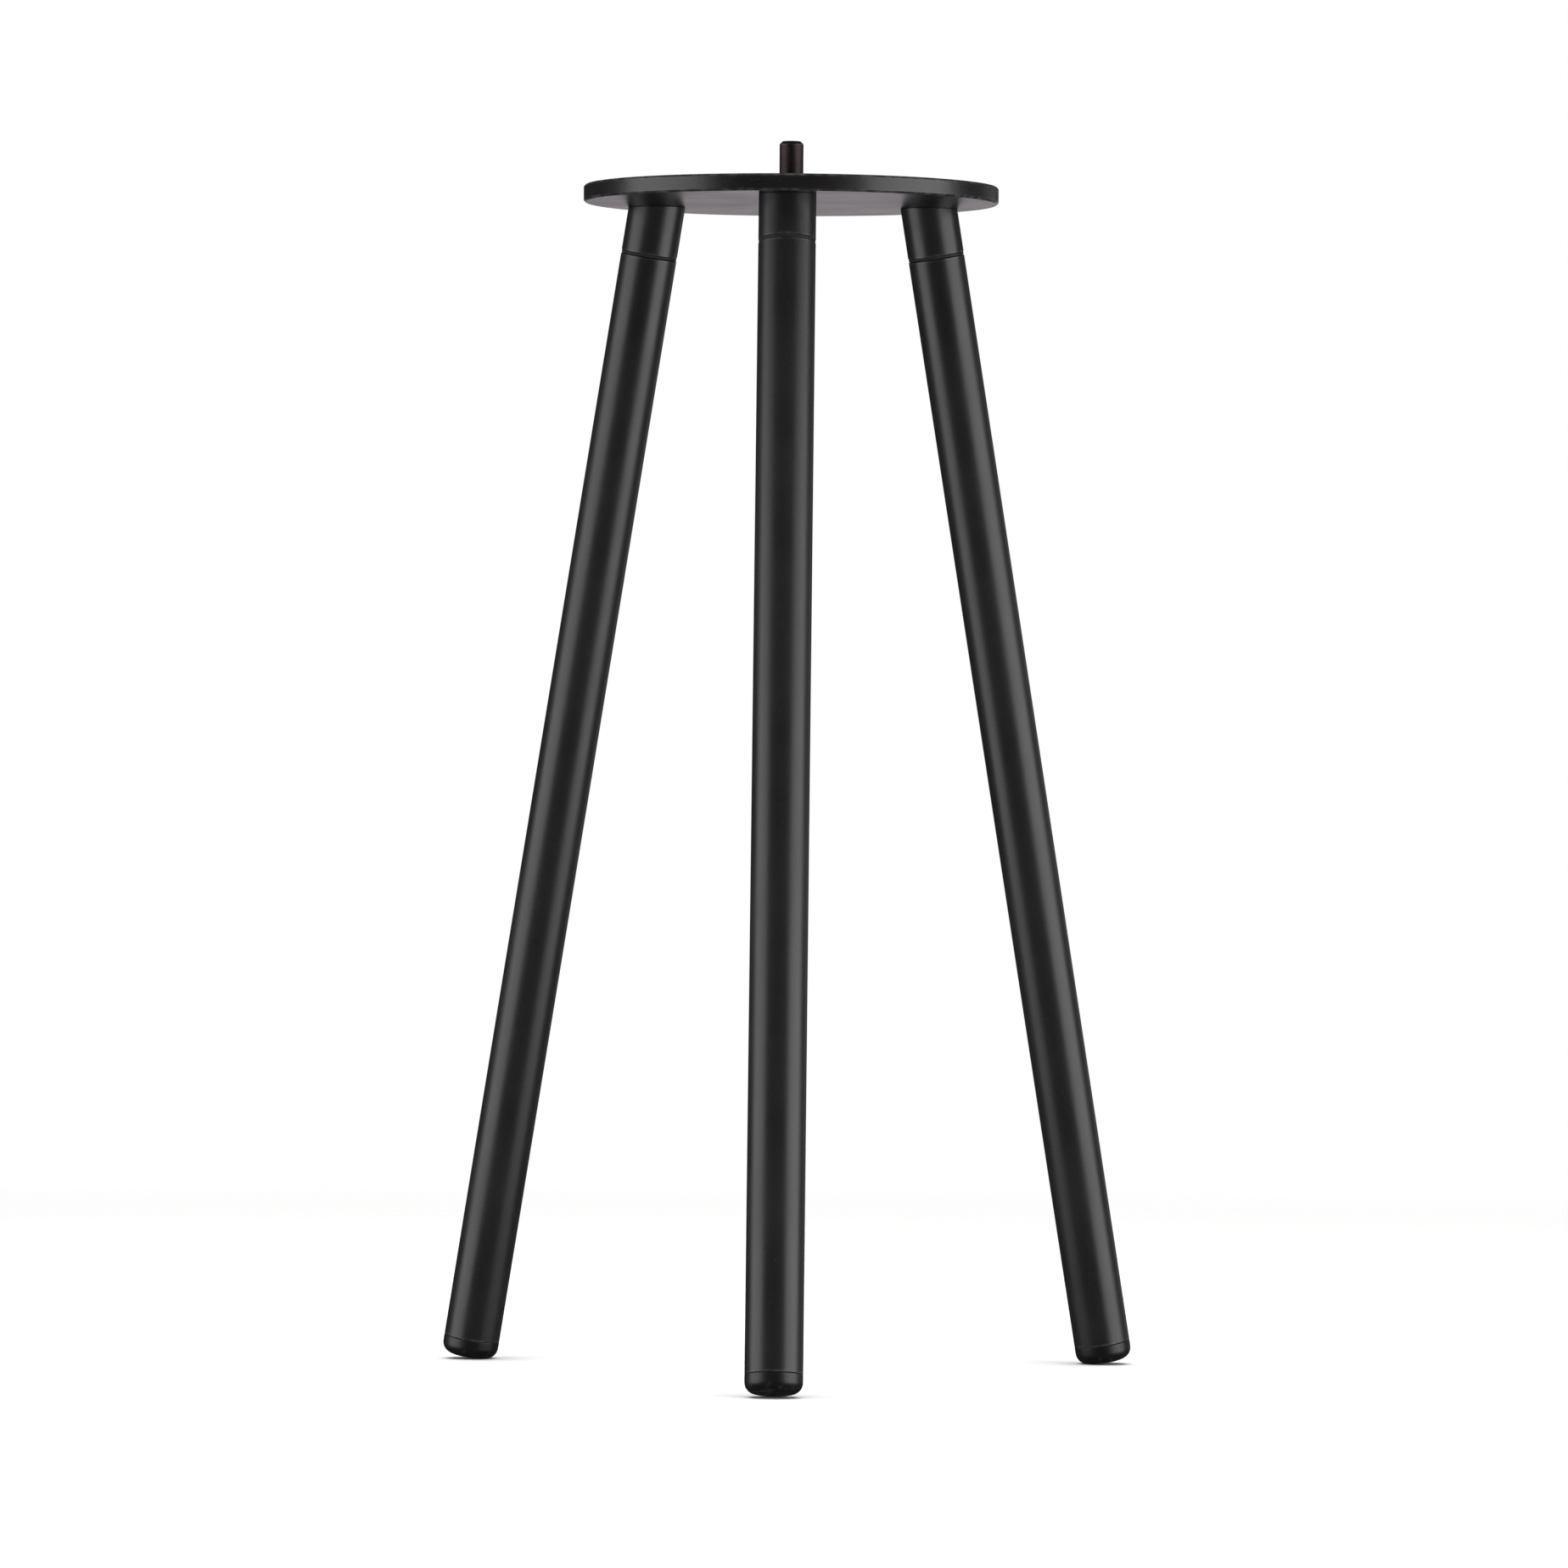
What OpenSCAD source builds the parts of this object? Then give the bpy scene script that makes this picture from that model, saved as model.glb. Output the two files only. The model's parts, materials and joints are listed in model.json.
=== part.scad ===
// Tripod hunting stand: a round plate with a device stud, on three legs
// that unscrew from slanted sockets under the plate.
// The origin is the centre of the plate's top face; +Z points up along the stud.

/* [Plate] */
// Diameter of the round top plate
plate_d = 110; // [96:1:200]
// Thickness of the plate
plate_t = 4.5; // [4:0.1:8]
// Chamfer on the two edges of the plate's rim
plate_chamfer = 0.5; // [0.2:0.1:1.5]

/* [Device stud] */
// Diameter of the smooth stud that the device fits over (a quarter of an inch)
stud_d = 6.35; // [6:0.05:9]
// Height of the stud above the plate
stud_h = 12; // [6:0.5:30]
// Chamfer at the stud's tip
stud_tip = 0.8; // [0.3:0.1:1.2]
// Diameter of the stud's shank, which is pressed into the plate and ends flush with its top
stud_shank_d = 7; // [6.5:0.1:9]
// Diameter of the stud's flat head, flush with the underside
stud_head_d = 9.6; // [9.2:0.1:12]
// Included angle of the stud's head
stud_head_angle = 90; // [82:1:100]

/* [Leg layout] */
// Distance of each leg's axis from the centre, at the underside of the plate
leg_circle_r = 42; // [32:0.5:46]
// Lean of each leg out from the vertical
splay = 10.5; // [4:0.5:18]

/* [Leg tube] */
// Outside diameter of the leg tube and its socket
leg_d = 15; // [14:0.5:18]
// Wall of the leg tube
leg_wall = 1.5; // [0.8:0.1:2]
// Length of the leg tube
tube_len = 296; // [80:1:600]
// Chamfer where the tube meets its seat, and where the socket ends
seam_chamfer = 0.15; // [0.1:0.05:1]

/* [Socket] */
// Length of the socket along the leg's axis, from the underside of the plate
socket_len = 12.5; // [10:0.5:30]
// Depth of the threaded hole for the leg's stud
socket_bore_depth = 8; // [7:0.5:9]
// Lead-in chamfer at the mouth of the threaded hole
bore_lead = 0.5; // [0.2:0.1:1]
// Solid metal left between the threaded hole and the socket's screw
socket_web = 0.3; // [0.2:0.1:1]

/* [Socket screw] */
// Thread diameter of the countersunk screw that holds a socket (M5)
screw_d = 5; // [3:0.5:6]
// Diameter of the screw's head, flush with the top face
screw_head_d = 9.6; // [8:0.1:12]
// Included angle of the screw's head
screw_head_angle = 90; // [82:1:100]
// Hexagon key size of the screw, across flats
screw_key = 3; // [2:0.5:4]
// Depth of the hexagon in the screw's head
screw_key_depth = 1.8; // [1:0.1:2]

/* [Socket dowel] */
// Diameter of the dowel that stops the socket from turning on its screw
dowel_d = 2.5; // [1.5:0.1:3]
// Depth of the dowel in the plate
dowel_in_plate = 2.5; // [1.5:0.1:3]

/* [Leg stud] */
// Thread diameter of the stud on each leg (M8)
leg_stud_d = 8; // [6:0.5:9]
// Length of the stud beyond the end of the tube
leg_stud_out = 7.5; // [4:0.1:7.6]
// Length of the stud inside the plug
leg_stud_in = 12; // [6:0.5:18]
// Chamfer at the stud's two ends
leg_stud_tip = 0.8; // [0.3:0.1:1.5]

/* [Leg plug] */
// Length of the plug pressed into the top of the tube
plug_len = 22; // [20:1:50]
// Lead-in chamfer at the end that is pressed into the tube
plug_lead = 0.5; // [0.2:0.1:1]
// Clearance under the stud at the bottom of the plug's hole
plug_hole_rest = 2; // [0.5:0.5:2]

/* [Seat washer] */
// Thickness of the washer between the socket and the tube
washer_t = 0.7; // [0.5:0.1:2]
// How far the washer's edge lies inside the tube's outside
washer_inset = 0.1; // [0.05:0.05:1.5]

/* [Foot cap] */
// Height of the cap's head below the tube
cap_head = 5; // [4:0.5:12]
// Radius of the rounding around the cap's foot
cap_round = 3; // [1:0.5:4]
// Length of the cap's stem inside the tube
cap_stem = 14; // [12:1:30]
// Wall of the cap's stem
cap_wall = 1.4; // [0.8:0.1:2]
// Height of each gripping rib on the stem
cap_rib_h = 0.35; // [0.1:0.05:0.6]

/* [Clearances] */
// Play between a thread and its hole, on the radius
thread_play = 0.05; // [0.02:0.01:0.1]
// Play between a pressed piece and its seat, on the radius
press_play = 0.02; // [0.01:0.01:0.05]
// Play between the washer and the leg that turns against it
washer_play = 0.1; // [0.05:0.05:0.3]

/* [Hidden] */
$fn = 96;
leg_count = 3;
first_leg_azimuth = -90;
cap_ribs = 3;
cut = 1;                 // how far a cutting shape runs past the face it cuts
steel_black = [0.13, 0.12, 0.125];
coat_black = [0.10, 0.10, 0.105];
plastic_black = [0.07, 0.07, 0.075];
rubber_black = [0.05, 0.05, 0.05];
zinc_grey = [0.62, 0.63, 0.64];

plate_r = plate_d / 2;
leg_r = leg_d / 2;
tube_bore_r = leg_r - leg_wall;
leg_hole_r = leg_stud_d / 2 + thread_play;
washer_d = leg_d - 2 * washer_inset;
tube_start = socket_len + washer_t + washer_play;
tube_end = tube_start + tube_len;
plug_hole_depth = leg_stud_in + plug_hole_rest;
stud_head_h = (stud_head_d - stud_shank_d) / 2 / tan(stud_head_angle / 2);
screw_head_h = (screw_head_d - screw_d) / 2 / tan(screw_head_angle / 2);
// The dowel stands midway between the screw and the outside of the socket
dowel_offset = (screw_d / 2 + leg_r) / 2;
// The highest point of the slanted hole, measured down from the underside, less the web
socket_solid_top = (socket_len - socket_bore_depth) * cos(splay) - leg_hole_r * sin(splay)
    - socket_web;

function leg_azimuth(n) = first_leg_azimuth + (n - 1) * 360 / leg_count;

// Puts children over socket n, with Z upright and X towards the rim
module over_socket(n)
    rotate([0, 0, leg_azimuth(n)]) translate([leg_circle_r, 0, 0]) children();

// Puts children on leg n's axis: Z runs down the leg from the underside of the plate
module on_leg(n)
    over_socket(n) translate([0, 0, -plate_t]) rotate([0, 180 - splay, 0]) children();

// A quarter disc with its corner at the origin
module quarter_round(r)
    intersection() {
        circle(r);
        square(r);
    }

// A rod along Z from z = 0 to h, chamfered at either end
module chamfered_rod(r, h, low = 0, high = 0)
    rotate_extrude()
        polygon([[0, 0], [r - low, 0], [r, low], [r, h - high], [r - high, h], [0, h]]);

// A countersunk head: its wide face at z = 0, narrowing upwards
module flat_head(wide_d, narrow_d, h) cylinder(d1 = wide_d, d2 = narrow_d, h = h);

// A hexagon hole along Z, sized across its flats
module hex_hole(flats, h) cylinder(d = flats / cos(30), h = h, $fn = 6);

// ---- plate ----

module top_plate() color(coat_black)
    difference() {
        translate([0, 0, -plate_t])
            chamfered_rod(plate_r, plate_t, low = plate_chamfer, high = plate_chamfer);
        translate([0, 0, -plate_t - cut])
            cylinder(r = stud_shank_d / 2 + press_play, h = plate_t + 2 * cut);
        translate([0, 0, -plate_t])
            flat_head(stud_head_d + 2 * press_play, stud_shank_d + 2 * press_play, stud_head_h);
        for (n = [1 : leg_count]) over_socket(n) {
            translate([0, 0, -plate_t - cut])
                cylinder(r = screw_d / 2 + thread_play, h = plate_t + 2 * cut);
            rotate([180, 0, 0])
                flat_head(screw_head_d + 2 * press_play, screw_d + 2 * press_play, screw_head_h);
            translate([dowel_offset, 0, -plate_t - cut])
                cylinder(r = dowel_d / 2 + press_play, h = dowel_in_plate + cut);
        }
    }

module mount_stud() color(steel_black) {
    translate([0, 0, -plate_t]) {
        flat_head(stud_head_d, stud_shank_d, stud_head_h);
        cylinder(d = stud_shank_d, h = plate_t);
    }
    chamfered_rod(stud_d / 2, stud_h, high = stud_tip);
}

// ---- sockets and what holds them ----

module socket(n) color(coat_black)
    difference() {
        on_leg(n) translate([0, 0, -leg_r]) chamfered_rod(leg_r, socket_len + leg_r, high = seam_chamfer);
        translate([0, 0, -plate_t]) cylinder(r = plate_d, h = leg_d);
        on_leg(n) {
            translate([0, 0, socket_len - socket_bore_depth])
                cylinder(r = leg_hole_r, h = socket_bore_depth + cut);
            translate([0, 0, socket_len - bore_lead])
                cylinder(r1 = leg_hole_r, r2 = leg_hole_r + bore_lead, h = bore_lead);
        }
        over_socket(n) translate([0, 0, -plate_t - socket_solid_top]) {
            cylinder(r = screw_d / 2 + thread_play, h = socket_solid_top + cut);
            translate([dowel_offset, 0, 0])
                cylinder(r = dowel_d / 2 + press_play, h = socket_solid_top + cut);
        }
    }

module socket_screws() color(steel_black)
    for (n = [1 : leg_count]) over_socket(n) rotate([180, 0, 0])
        difference() {
            union() {
                flat_head(screw_head_d, screw_d, screw_head_h);
                cylinder(d = screw_d, h = plate_t + socket_solid_top);
            }
            translate([0, 0, -cut]) hex_hole(screw_key, screw_key_depth + cut);
        }

module socket_dowels() color(zinc_grey)
    for (n = [1 : leg_count]) over_socket(n)
        translate([dowel_offset, 0, -plate_t - socket_solid_top])
            cylinder(d = dowel_d, h = socket_solid_top + dowel_in_plate);

// ---- legs ----

module seat_washer(n) color(rubber_black)
    on_leg(n) translate([0, 0, socket_len]) difference() {
        cylinder(d = washer_d, h = washer_t);
        translate([0, 0, -cut]) cylinder(r = leg_hole_r + thread_play, h = washer_t + 2 * cut);
    }

module leg_stud(n) color(zinc_grey)
    on_leg(n) translate([0, 0, tube_start - leg_stud_out])
        chamfered_rod(leg_stud_d / 2, leg_stud_out + leg_stud_in, low = leg_stud_tip, high = leg_stud_tip);

module leg_plug(n) color(zinc_grey)
    on_leg(n) translate([0, 0, tube_start]) difference() {
        chamfered_rod(tube_bore_r - press_play, plug_len, high = plug_lead);
        translate([0, 0, -cut]) cylinder(r = leg_hole_r, h = plug_hole_depth + cut);
    }

module leg_tube(n) color(coat_black)
    on_leg(n) translate([0, 0, tube_start]) rotate_extrude()
        polygon([
            [tube_bore_r, 0], [leg_r - seam_chamfer, 0], [leg_r, seam_chamfer],
            [leg_r, tube_len], [tube_bore_r, tube_len]
        ]);

module foot_cap(n) color(plastic_black)
    on_leg(n) translate([0, 0, tube_end]) rotate_extrude() {
        square([leg_r - cap_round, cap_head]);
        square([leg_r, cap_head - cap_round]);
        translate([leg_r - cap_round, cap_head - cap_round]) quarter_round(cap_round);
        stem_r = tube_bore_r - press_play - cap_rib_h;
        translate([stem_r - cap_wall, -cap_stem]) square([cap_wall, cap_stem]);
        for (rib = [1 : cap_ribs])
            translate([stem_r - cap_wall / 2, -cap_stem * rib / (cap_ribs + 1)])
                polygon([
                    [0, -cap_rib_h], [cap_wall / 2 + cap_rib_h, 0],
                    [cap_wall / 2 + cap_rib_h, cap_rib_h], [0, cap_rib_h]
                ]);
    }

top_plate();
mount_stud();
socket_screws();
socket_dowels();
for (n = [1 : leg_count]) {
    socket(n);
    seat_washer(n);
    leg_stud(n);
    leg_plug(n);
    leg_tube(n);
    foot_cap(n);
}
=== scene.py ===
"""Finished pieces, materials, floor, light and camera of a small tripod hunting stand.

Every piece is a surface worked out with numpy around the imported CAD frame, and rides on a CAD body.
"""

import json
import math

import bmesh
import bpy
import numpy as np
from bpy.props import FloatProperty, FloatVectorProperty, IntProperty, PointerProperty
from mathutils import Matrix, Vector


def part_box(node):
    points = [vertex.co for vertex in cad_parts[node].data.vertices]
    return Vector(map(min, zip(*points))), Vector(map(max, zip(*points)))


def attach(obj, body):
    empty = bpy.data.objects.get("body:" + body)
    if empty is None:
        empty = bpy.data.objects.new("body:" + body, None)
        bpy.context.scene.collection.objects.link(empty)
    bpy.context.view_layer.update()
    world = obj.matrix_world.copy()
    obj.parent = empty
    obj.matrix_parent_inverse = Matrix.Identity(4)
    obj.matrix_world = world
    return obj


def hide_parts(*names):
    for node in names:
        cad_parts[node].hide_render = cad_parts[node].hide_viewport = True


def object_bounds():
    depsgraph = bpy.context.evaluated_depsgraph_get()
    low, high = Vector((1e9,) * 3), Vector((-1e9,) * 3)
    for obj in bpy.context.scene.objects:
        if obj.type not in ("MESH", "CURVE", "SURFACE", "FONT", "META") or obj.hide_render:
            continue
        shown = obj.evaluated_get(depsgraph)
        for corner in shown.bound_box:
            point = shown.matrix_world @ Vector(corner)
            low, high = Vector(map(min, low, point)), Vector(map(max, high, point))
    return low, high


bl_info = {
    "name": "Tripod hunting stand",
    "version": (1, 0, 0),
    "blender": (4, 5, 0),
    "location": "3D View > Sidebar > Stand",
    "description": "Builds the plate, stud, sockets, screw-in legs and foot caps of a field tripod",
    "category": "Add Mesh",
}

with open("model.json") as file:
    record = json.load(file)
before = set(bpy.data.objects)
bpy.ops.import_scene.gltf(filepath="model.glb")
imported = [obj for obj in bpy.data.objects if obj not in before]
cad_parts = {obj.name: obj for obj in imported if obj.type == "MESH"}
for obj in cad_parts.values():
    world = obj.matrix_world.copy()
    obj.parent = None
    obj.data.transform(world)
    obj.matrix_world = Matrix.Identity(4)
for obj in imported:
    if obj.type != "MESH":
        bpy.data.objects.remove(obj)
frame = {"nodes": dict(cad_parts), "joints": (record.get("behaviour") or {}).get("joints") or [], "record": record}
CAD_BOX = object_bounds()
MM = 0.001
LEGS = (1, 2, 3)


# ---------------------------------------------------------------- places and sizes from the frame


def own_axes(origin, axis):
    """The matrix of a frame at origin: Z lies along axis, and X is square to it and to the world's Y."""
    z = np.asarray(axis, float) / np.linalg.norm(axis)
    x = np.cross((0.0, 1.0, 0.0), z)
    x /= np.linalg.norm(x)
    matrix = np.eye(4)
    matrix[:3, 0], matrix[:3, 1], matrix[:3, 2], matrix[:3, 3] = x, np.cross(z, x), z, origin
    return matrix


def leg_axes(leg):
    """A leg's own frame: the origin is on the plate's underside, and Z runs down the leg."""
    joint = next(j for j in frame["joints"] if j["name"] == f"leg_{leg}_turn")
    return own_axes(joint["pos_m"], joint["axis"])


def in_own_axes(points, matrix):
    """Points of the row frame, given in a piece's own frame."""
    return (points - matrix[:3, 3]) @ matrix[:3, :3]


def mesh_points(mesh):
    """A mesh's vertices as an array of rows."""
    points = np.empty(len(mesh.vertices) * 3)
    mesh.vertices.foreach_get("co", points)
    return points.reshape(-1, 3)


def reach(node, matrix):
    """The lowest and highest place of a CAD node along an own frame's Z, and its largest radius."""
    points = in_own_axes(mesh_points(frame["nodes"][node].data), matrix)
    return points[:, 2].min(), points[:, 2].max(), np.hypot(points[:, 0], points[:, 1]).max()


STUD_MOUNT = next(m for m in frame["record"]["mounts"] if m["name"] == "stud")
STUD_R = STUD_MOUNT["dims"]["r_mm"] * MM
HEAD = own_axes(STUD_MOUNT["pos_m"], STUD_MOUNT["axis"])
LEG_AXES = {leg: leg_axes(leg) for leg in LEGS}
PLATE_LOW, PLATE_TOP, PLATE_R = reach("top_plate", HEAD)
STUD_LOW, STUD_TOP, STUD_HEAD_R = reach("mount_stud", HEAD)
SOCKET_END = reach("socket_1", LEG_AXES[1])[1]
WASHER_END, WASHER_R = reach("seat_washer_1", LEG_AXES[1])[1:]
TUBE_START, TUBE_END, LEG_R = reach("leg_tube_1", LEG_AXES[1])
PLUG_END, PLUG_R = reach("leg_plug_1", LEG_AXES[1])[1:]
LEG_STUD_START, LEG_STUD_END, LEG_STUD_R = reach("leg_stud_1", LEG_AXES[1])
CAP_START, CAP_END = reach("foot_cap_1", LEG_AXES[1])[:2]
SCREW_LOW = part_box("socket_screws")[0].z
DOWEL_LOW, DOWEL_TOP = (corner.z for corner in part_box("socket_dowels"))
LEG_CIRCLE_R = float(np.hypot(*LEG_AXES[1][:2, 3]))


# ---------------------------------------------------------------- what a user would change


def linear(code):
    """A #rrggbb sRGB colour as linear red, green and blue."""
    parts = [int(code[i : i + 2], 16) / 255 for i in (1, 3, 5)]
    return tuple(c / 12.92 if c <= 0.04045 else ((c + 0.055) / 1.055) ** 2.4 for c in parts)


def length(name, description, millimetres):
    """A length property, with its default given in millimetres."""
    return FloatProperty(
        name=name,
        description=description,
        default=millimetres * MM,
        min=0.0,
        precision=5,
        unit="LENGTH",
    )


def colour(name, description, code):
    """A colour property, with its default given as an sRGB code."""
    return FloatVectorProperty(
        name=name,
        description=description,
        default=linear(code),
        min=0.0,
        max=1.0,
        size=3,
        subtype="COLOR",
    )


class StandSizes(bpy.types.PropertyGroup):
    """Sizes that the outer shapes in the frame don't give, and the fineness of the surfaces."""

    leg_pitch: length("Leg thread pitch", "Pitch of the M8 thread on each leg", 1.25)
    thread_play: length("Thread play", "Gap between a thread and its hole, on the radius", 0.05)
    press_play: length("Press play", "Gap around a pressed piece, on the radius", 0.02)
    stud_shank_r: length("Stud shank", "Radius of the device stud inside the plate", 3.5)
    stud_tip: length("Stud tip chamfer", "Chamfer at the tip of the device stud", 0.8)
    leg_stud_tip: length("Leg stud chamfer", "Chamfer at the two ends of a leg's stud", 0.8)
    rim_chamfer: length("Rim chamfer", "Chamfer on the two edges of the plate's rim", 0.5)
    edge_round: length("Edge rounding", "Rounding that the coat gives to a machined edge", 0.15)
    seam_chamfer: length("Seam chamfer", "Chamfer on both sides of a leg's seam", 0.15)
    bore_depth: length("Hole depth", "Depth of a socket's threaded hole", 8.0)
    bore_lead: length("Hole chamfer", "Chamfer at the mouth of a socket's threaded hole", 0.5)
    plug_lead: length("Plug chamfer", "Chamfer at the inner end of a tube's plug", 0.5)
    tube_wall: length("Tube wall", "Wall of a leg tube", 1.5)
    screw_head_r: length("Screw head radius", "Radius of a socket screw's head", 4.8)
    screw_r: length("Screw radius", "Radius of a socket screw's shank", 2.5)
    screw_key: length("Screw key", "Width across the flats of a socket screw's hexagon", 3.0)
    screw_key_depth: length("Screw key depth", "Depth of a socket screw's hexagon", 1.8)
    dowel_r: length("Dowel radius", "Radius of the dowel in each socket", 1.25)
    cap_round: length("Cap rounding", "Radius around the foot of a cap", 3.0)
    cap_wall: length("Cap wall", "Wall of a foot cap's stem", 1.4)
    cap_rib: length("Cap rib", "Height of a gripping rib on a cap's stem", 0.35)
    columns: IntProperty(
        name="Columns",
        description="Faces around each turned piece",
        default=96,
        min=24,
        max=256,
    )


class StandColours(bpy.types.PropertyGroup):
    """Colours of the finishes."""

    head_coat: colour("Head coat", "Powder coat of the plate and sockets", "#1b191a")
    leg_coat: colour("Leg coat", "Powder coat of the leg tubes", "#1e1e1f")
    worn_coat: colour("Worn coat", "Coat that edges have rubbed thin", "#4a4a4b")
    stud_oxide: colour("Stud oxide", "Brown-black oxide on the device stud", "#4a4041")
    screw_oxide: colour("Screw oxide", "Black oxide on the socket screws", "#3a3838")
    zinc: colour("Zinc", "Zinc plate on the leg studs, plugs and dowels", "#b4b8bc")
    plastic: colour("Foot plastic", "Moulded polyethylene of the foot caps", "#111112")
    rubber: colour("Washer rubber", "Nitrile rubber of the seat washers", "#121212")
    floor: colour("Floor", "Matt white board under the stand", "#f4f4f2")


# ---------------------------------------------------------------- surfaces


def corner_arc(before, corner, after, radius, steps):
    """Points of the circle of that radius which touches both lines through a corner, from one to the
    other. At angle a each is the centre, plus cos a times the start, plus sin a times the start's left."""
    to_before = (before - corner) / np.linalg.norm(before - corner)
    to_after = (after - corner) / np.linalg.norm(after - corner)
    half = math.acos(np.clip(to_before @ to_after, -1, 1)) / 2
    bisector = (to_before + to_after) / np.linalg.norm(to_before + to_after)
    centre = corner + bisector * radius / math.sin(half)
    start = corner + to_before * radius / math.tan(half) - centre
    end = corner + to_after * radius / math.tan(half) - centre
    turn = math.atan2(start[0] * end[1] - start[1] * end[0], start @ end)
    angle = np.linspace(0, turn, steps + 1)
    side = np.array((-start[1], start[0]))
    return centre + np.cos(angle)[:, None] * start + np.sin(angle)[:, None] * side


def rounded(corners, steps=5):
    """A profile as (radius, height) points, from corners that may have a rounding as their third number:
    each rounding becomes an arc that touches both of its sides."""
    spots = np.array([c[:2] for c in corners], float)
    pieces = [spots[:1]]
    for i in range(1, len(corners) - 1):
        radius = corners[i][2] if len(corners[i]) > 2 else 0
        if radius:
            pieces.append(corner_arc(spots[i - 1], spots[i], spots[i + 1], radius, steps))
        else:
            pieces.append(spots[i : i + 1])
    return np.concatenate(pieces + [spots[-1:]])


def turned(profile, columns, slant=None):
    """A surface of revolution: at angle a and profile point (r, h) it is (r cos a, r sin a, h).

    slant is (weights, x, y): a row of weight w rises by w times (x cos a + y sin a) times r.
    """
    angle = np.linspace(0, 2 * np.pi, columns + 1)
    radius, height = profile[:, 0:1], profile[:, 1:2]
    rise = np.zeros((len(profile), columns + 1))
    if slant:
        weights, x, y = slant
        rise = weights[:, None] * radius * (x * np.cos(angle) + y * np.sin(angle))
    return np.stack((radius * np.cos(angle), radius * np.sin(angle), height + rise), -1)


# One turn of a 60 degree thread, as (place along the turn, depth as a share of the full depth):
# a crest an eighth of a pitch wide, two flanks, and a root a quarter of a pitch wide
THREAD_FORM = np.array(
    [
        (0, 0),
        (1 / 16, 0),
        (0.11, 0.1),
        (0.33, 0.9),
        (3 / 8, 1),
        (5 / 8, 1),
        (0.67, 0.9),
        (0.89, 0.1),
        (15 / 16, 0),
    ]
)
THREAD_DEPTH = 0.5413  # of the pitch: five eighths of the sharp triangle's height


def threaded(low, high, radius, pitch, limit, columns):
    """A right-hand thread along Z from low to high, closed by a point at each end.

    At angle a, a form point t of turn n is at the height pitch * (n + t + a / 2 pi), held between low and
    high. Its radius is the outer one less the form's depth there, and no more than limit(height), which
    tapers the ends.
    """
    angle = np.linspace(0, 2 * np.pi, columns + 1)
    turns = np.arange(math.floor(low / pitch) - 1, math.ceil(high / pitch) + 1)
    place = (turns[:, None] + THREAD_FORM[:, 0]).reshape(-1, 1)
    depth = np.tile(THREAD_FORM[:, 1], len(turns)).reshape(-1, 1) * THREAD_DEPTH * pitch
    height = np.clip(pitch * (place + angle / (2 * np.pi)), low, high)
    spread = np.minimum(radius - depth, limit(height))
    rows = np.stack((spread * np.cos(angle), spread * np.sin(angle), height), -1)
    poles = [turned(np.array([(0, z)]), columns) for z in (low, high)]
    return np.concatenate((poles[0], rows, poles[1]))


def mesh_from_rows(name, rows, matrix):
    """A closed mesh from rows of points in an own frame: neighbours make faces, and doubles are merged,
    which closes the seam and the poles."""
    count, columns = rows.shape[:2]
    index = np.arange(count * columns).reshape(count, columns)
    faces = np.stack((index[:-1, :-1], index[:-1, 1:], index[1:, 1:], index[1:, :-1]), -1)
    points = rows.reshape(-1, 3) @ matrix[:3, :3].T + matrix[:3, 3]
    mesh = bpy.data.meshes.new(name)
    mesh.from_pydata(points.tolist(), [], faces.reshape(-1, 4).tolist())
    shell = bmesh.new()
    shell.from_mesh(mesh)
    bmesh.ops.remove_doubles(shell, verts=shell.verts, dist=1e-7)
    bmesh.ops.dissolve_degenerate(shell, edges=shell.edges, dist=1e-8)
    bmesh.ops.recalc_face_normals(shell, faces=shell.faces)
    shell.to_mesh(mesh)
    shell.free()
    return mesh


def new_object(name, mesh):
    """An object for a mesh, linked to the scene."""
    piece = bpy.data.objects.new(name, mesh)
    bpy.context.scene.collection.objects.link(piece)
    return piece


def carve(piece, cutters):
    """Cuts the cutters' solids out of a piece, and removes them."""
    for solid in cutters:
        cut = piece.modifiers.new("cut", "BOOLEAN")
        cut.operation = "DIFFERENCE"
        cut.solver = "EXACT"
        cut.object = solid
    bpy.context.view_layer.update()
    shape = piece.evaluated_get(bpy.context.evaluated_depsgraph_get())
    mesh = bpy.data.meshes.new_from_object(shape)
    piece.modifiers.clear()
    piece.data = mesh
    for solid in cutters:
        bpy.data.objects.remove(solid)


def cutter(rows, matrix):
    """A solid to carve with."""
    return new_object("cutter", mesh_from_rows("cutter", rows, matrix))


def over_socket(leg):
    """A frame on the plate's top face over a socket: Z up, and X towards the rim."""
    outward = LEG_AXES[leg][:2, 3] / LEG_CIRCLE_R
    matrix = np.eye(4)
    matrix[:2, 0] = outward
    matrix[:2, 1] = (-outward[1], outward[0])
    matrix[:3, 3] = (*LEG_AXES[leg][:2, 3], PLATE_TOP)
    return matrix


def beside_screw(leg, screw_r):
    """That frame moved out to the dowel, midway between the screw and the outside of the socket."""
    matrix = over_socket(leg)
    matrix[:3, 3] += matrix[:3, 0] * (screw_r + LEG_R) / 2
    return matrix


def hexagon(flats, low, high):
    """Rows of a hexagonal prism, sized across its flats, between two heights."""
    corner_r = flats / 2 / math.cos(math.pi / 6)
    return turned(np.array([(0, low), (corner_r, low), (corner_r, high), (0, high)]), 6)


# ---------------------------------------------------------------- finishing a piece

SMOOTH_UNDER = math.radians(32)  # faces that meet at less than this are shaded as one


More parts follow.
